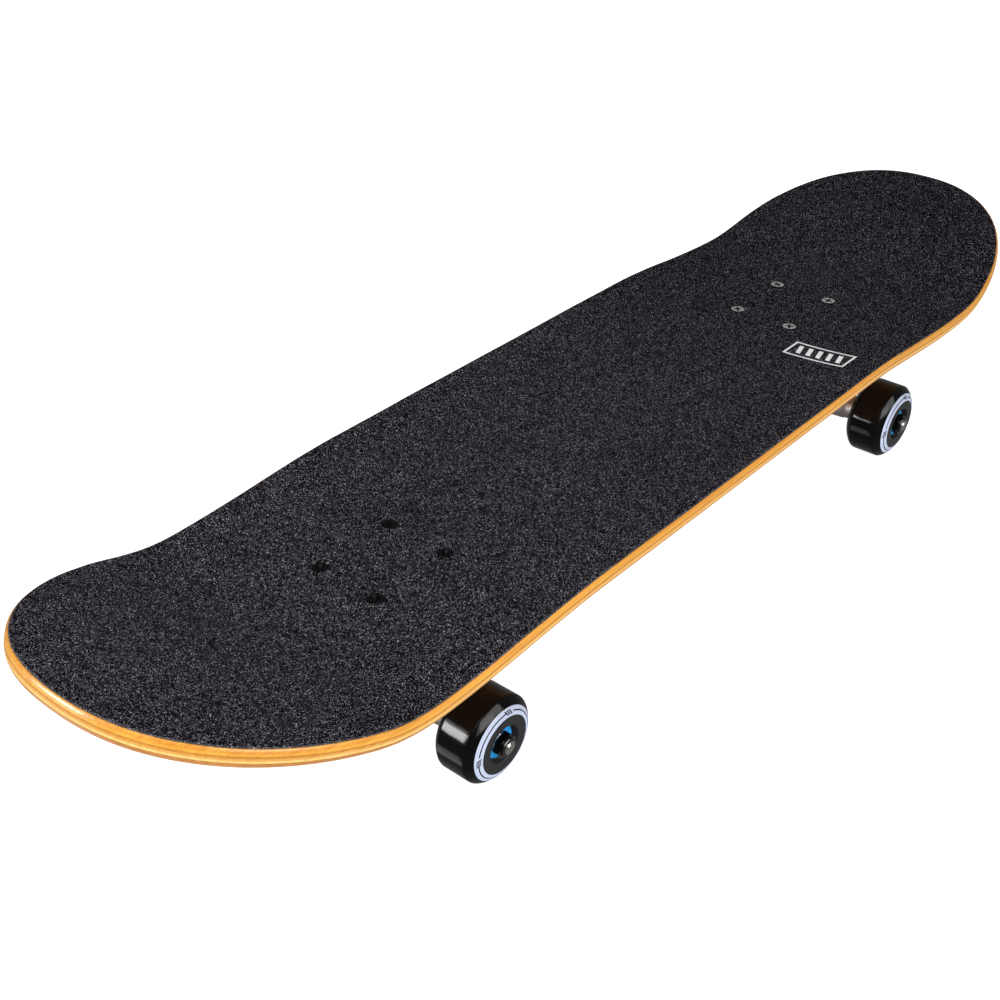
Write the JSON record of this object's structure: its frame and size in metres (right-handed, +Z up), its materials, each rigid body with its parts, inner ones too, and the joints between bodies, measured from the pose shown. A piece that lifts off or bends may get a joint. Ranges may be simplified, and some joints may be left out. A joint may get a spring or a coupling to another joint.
{
  "type": "skateboard",
  "caption": "Popsicle-shaped street skateboard: gripped maple deck with kicked nose and tail on two steering trucks with free-rolling urethane wheels.",
  "frame": {"origin": "on the ground, under the centre of the board's outline", "axes": "+X towards the nose, +Y towards the left rail, +Z up from the ground"},
  "size_m": [0.8334, 0.2054, 0.1355],
  "materials": {
    "maple": "satin",
    "grip": "matte",
    "cast_metal": "satin",
    "steel": "satin",
    "bearing_steel": "polished",
    "black_steel": "gloss",
    "black_plastic": "matte",
    "bushing": "satin",
    "urethane": "gloss",
    "retainer_plastic": "satin",
    "blue_shield": "satin"
  },
  "bodies": {
    "board": {"deck": "maple", "grip_tape": "grip", "front_baseplate": "cast_metal", "front_pivot_cup": "black_plastic", "front_kingpin": "steel", "front_kingpin_nut": "steel", "front_barrel_bushing": "bushing", "front_cone_bushing": "bushing", "front_bottom_washer": "steel", "front_top_washer": "steel", "front_mounting_screws": "black_steel", "front_mounting_nuts": "steel", "rear_baseplate": "cast_metal", "rear_pivot_cup": "black_plastic", "rear_kingpin": "steel", "rear_kingpin_nut": "steel", "rear_barrel_bushing": "bushing", "rear_cone_bushing": "bushing", "rear_bottom_washer": "steel", "rear_top_washer": "steel", "rear_mounting_screws": "black_steel", "rear_mounting_nuts": "steel"},
    "front_hanger_body": {"front_hanger": "cast_metal", "front_axle": "steel", "front_axle_nuts": "black_steel", "front_speed_washers": "steel", "front_bearing_spacers": "steel", "front_inner_races": "bearing_steel"},
    "rear_hanger_body": {"rear_hanger": "cast_metal", "rear_axle": "steel", "rear_axle_nuts": "black_steel", "rear_speed_washers": "steel", "rear_bearing_spacers": "steel", "rear_inner_races": "bearing_steel"},
    "front_left_wheel_body": {"front_left_wheel": "urethane", "front_left_outer_races": "bearing_steel", "front_left_bearing_balls": "bearing_steel", "front_left_ball_retainers": "retainer_plastic", "front_left_bearing_shields": "blue_shield"},
    "front_right_wheel_body": {"front_right_wheel": "urethane", "front_right_outer_races": "bearing_steel", "front_right_bearing_balls": "bearing_steel", "front_right_ball_retainers": "retainer_plastic", "front_right_bearing_shields": "blue_shield"},
    "rear_left_wheel_body": {"rear_left_wheel": "urethane", "rear_left_outer_races": "bearing_steel", "rear_left_bearing_balls": "bearing_steel", "rear_left_ball_retainers": "retainer_plastic", "rear_left_bearing_shields": "blue_shield"},
    "rear_right_wheel_body": {"rear_right_wheel": "urethane", "rear_right_outer_races": "bearing_steel", "rear_right_bearing_balls": "bearing_steel", "rear_right_ball_retainers": "retainer_plastic", "rear_right_bearing_shields": "blue_shield"}
  },
  "joints": [
    {"name": "front_steer", "type": "hinge", "parent": "board", "child": "front_hanger_body", "pos_m": [0.22929, 0, 0.0695], "axis": [0.8647, 0, 0.5023], "range_deg": [-12, 12], "stiffness_Nm_per_rad": 60, "deforming": ["front_barrel_bushing", "front_cone_bushing"]},
    {"name": "rear_steer", "type": "hinge", "parent": "board", "child": "rear_hanger_body", "pos_m": [-0.23179, 0, 0.0695], "axis": [-0.8647, 0, 0.5023], "range_deg": [-12, 12], "stiffness_Nm_per_rad": 60, "deforming": ["rear_barrel_bushing", "rear_cone_bushing"]},
    {"name": "front_left_spin", "type": "hinge", "parent": "front_hanger_body", "child": "front_left_wheel_body", "pos_m": [0.21719, 0.08095, 0.0261], "axis": [0, 1, 0], "continuous": true},
    {"name": "front_right_spin", "type": "hinge", "parent": "front_hanger_body", "child": "front_right_wheel_body", "pos_m": [0.21719, -0.08095, 0.0261], "axis": [0, 1, 0], "continuous": true},
    {"name": "rear_left_spin", "type": "hinge", "parent": "rear_hanger_body", "child": "rear_left_wheel_body", "pos_m": [-0.21969, 0.08095, 0.0261], "axis": [0, 1, 0], "continuous": true},
    {"name": "rear_right_spin", "type": "hinge", "parent": "rear_hanger_body", "child": "rear_right_wheel_body", "pos_m": [-0.21969, -0.08095, 0.0261], "axis": [0, 1, 0], "continuous": true}
  ]
}
